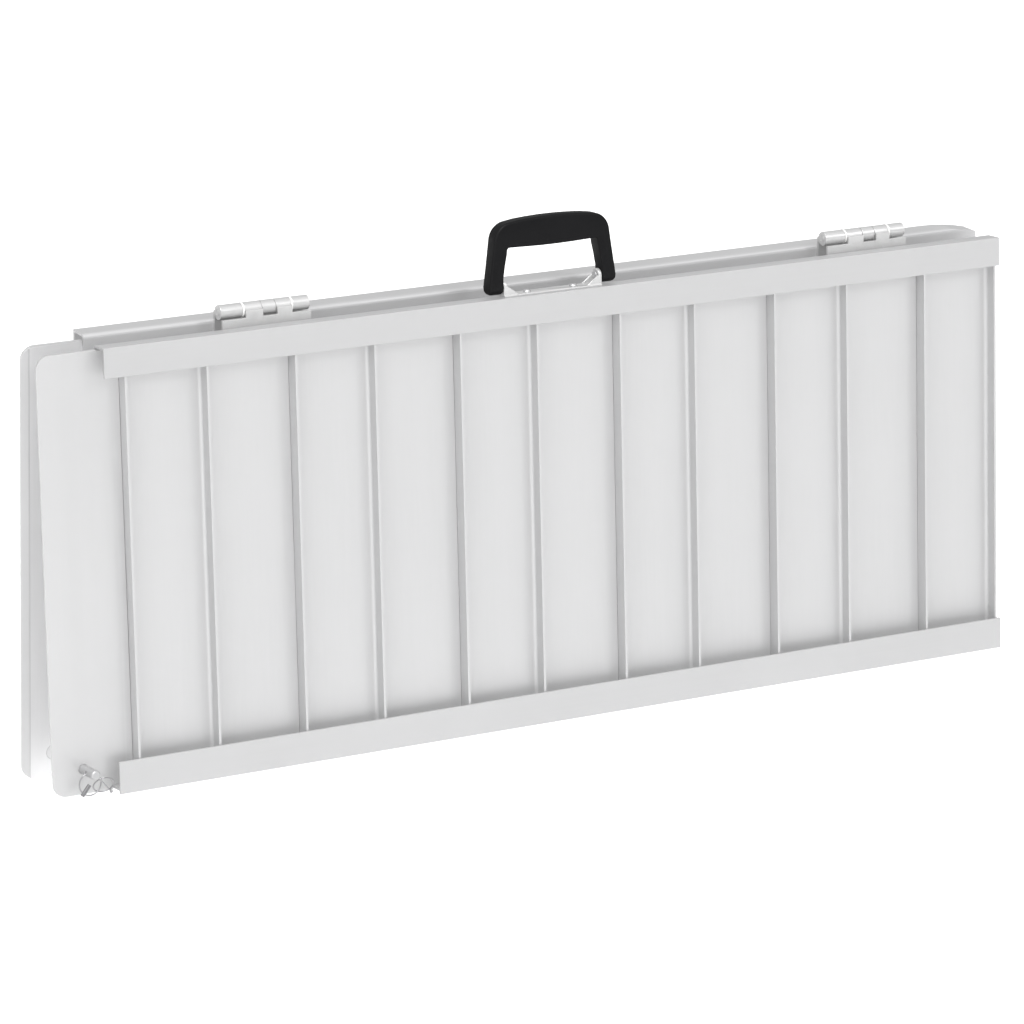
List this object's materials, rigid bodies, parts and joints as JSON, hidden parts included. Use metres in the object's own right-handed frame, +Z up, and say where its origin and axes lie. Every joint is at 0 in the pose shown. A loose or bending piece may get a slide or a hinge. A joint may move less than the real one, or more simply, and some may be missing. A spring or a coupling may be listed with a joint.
{
  "type": "folding dog ramp",
  "caption": "Folding aluminium ramp: two ribbed halves hinged along one long edge, raised curbs, end lips with anchor pins and a swinging carry grip.",
  "frame": {"origin": "centre of the footprint of the folded ramp, on the floor it stands on", "axes": "+X along the ramp from the lips to the ground end, -Y towards the half that carries the grip, +Z up"},
  "size_m": [0.909, 0.1072, 0.4249],
  "materials": {
    "mill_aluminium": "satin mill finish",
    "bracket_metal": "satin",
    "polished_steel": "polished",
    "fastener_steel": "satin",
    "ring_steel": "bright zinc",
    "white_nylon": "matt",
    "black_plastic": "fine moulded texture"
  },
  "bodies": {
    "front_half": {"front_plank_1": "mill_aluminium", "front_plank_2": "mill_aluminium", "front_plank_3": "mill_aluminium", "front_plank_4": "mill_aluminium", "front_plank_5": "mill_aluminium", "front_plank_6": "mill_aluminium", "front_hinge_rail": "mill_aluminium", "front_outer_rail": "mill_aluminium", "front_lip": "mill_aluminium", "front_end_strip": "mill_aluminium", "front_lip_rivets": "fastener_steel", "front_leaf_left": "polished_steel", "front_leaf_right": "polished_steel", "front_leaf_rivets": "fastener_steel", "hinge_pin_left": "polished_steel", "hinge_pin_right": "polished_steel", "hinge_washers": "white_nylon", "handle_bracket": "bracket_metal", "bracket_screws": "fastener_steel"},
    "back_half": {"back_plank_1": "mill_aluminium", "back_plank_2": "mill_aluminium", "back_plank_3": "mill_aluminium", "back_plank_4": "mill_aluminium", "back_plank_5": "mill_aluminium", "back_plank_6": "mill_aluminium", "back_hinge_rail": "mill_aluminium", "back_outer_rail": "mill_aluminium", "back_lip": "mill_aluminium", "back_end_strip": "mill_aluminium", "back_lip_rivets": "fastener_steel", "back_leaf_left": "polished_steel", "back_leaf_right": "polished_steel", "back_leaf_rivets": "fastener_steel"},
    "handle": {"grip": "black_plastic", "grip_pivot_pins": "fastener_steel"},
    "front_pin": {"front_anchor_pin": "ring_steel"},
    "front_ring": {"front_retaining_ring": "ring_steel", "front_keeper_pin": "ring_steel"},
    "front_link": {"front_link_ring": "ring_steel", "front_ball_pin": "ring_steel"},
    "back_pin": {"back_anchor_pin": "ring_steel"},
    "back_ring": {"back_retaining_ring": "ring_steel", "back_keeper_pin": "ring_steel"},
    "back_link": {"back_link_ring": "ring_steel", "back_ball_pin": "ring_steel"}
  },
  "joints": [
    {"name": "fold", "type": "hinge", "parent": "front_half", "child": "back_half", "pos_m": [0, 0, 0.37256], "axis": [1, 0, 0], "range_deg": [0, 175]},
    {"name": "handle_swing", "type": "hinge", "parent": "front_half", "child": "handle", "pos_m": [0.01, -0.01664, 0.36978], "axis": [1, 0, 0], "range_deg": [0, 90]},
    {"name": "front_pin_slide", "type": "slide", "parent": "front_half", "child": "front_pin", "axis": [0, 0.999, -0.0436], "range_m": [0, 0.002]},
    {"name": "front_ring_swing", "type": "hinge", "parent": "front_pin", "child": "front_ring", "pos_m": [-0.4272, -0.04153, 0.02204], "axis": [-1, 0, 0], "range_deg": [-3, 40]},
    {"name": "front_link_swing", "type": "hinge", "parent": "front_ring", "child": "front_link", "pos_m": [-0.4272, -0.04153, 0.01254], "axis": [0.9781, 0, -0.2079], "range_deg": [-10, 10]},
    {"name": "back_pin_slide", "type": "slide", "parent": "back_half", "child": "back_pin", "axis": [0, -0.999, -0.0436], "range_m": [0, 0.002]},
    {"name": "back_ring_swing", "type": "hinge", "parent": "back_pin", "child": "back_ring", "pos_m": [-0.4272, 0.04153, 0.02204], "axis": [1, 0, 0], "range_deg": [-3, 40]},
    {"name": "back_link_swing", "type": "hinge", "parent": "back_ring", "child": "back_link", "pos_m": [-0.4272, 0.04153, 0.01254], "axis": [0.9781, 0, -0.2079], "range_deg": [-10, 10]}
  ],
  "couplings": [
    {"joint": "handle_swing", "follows": "fold", "ratio": 0.5}
  ]
}
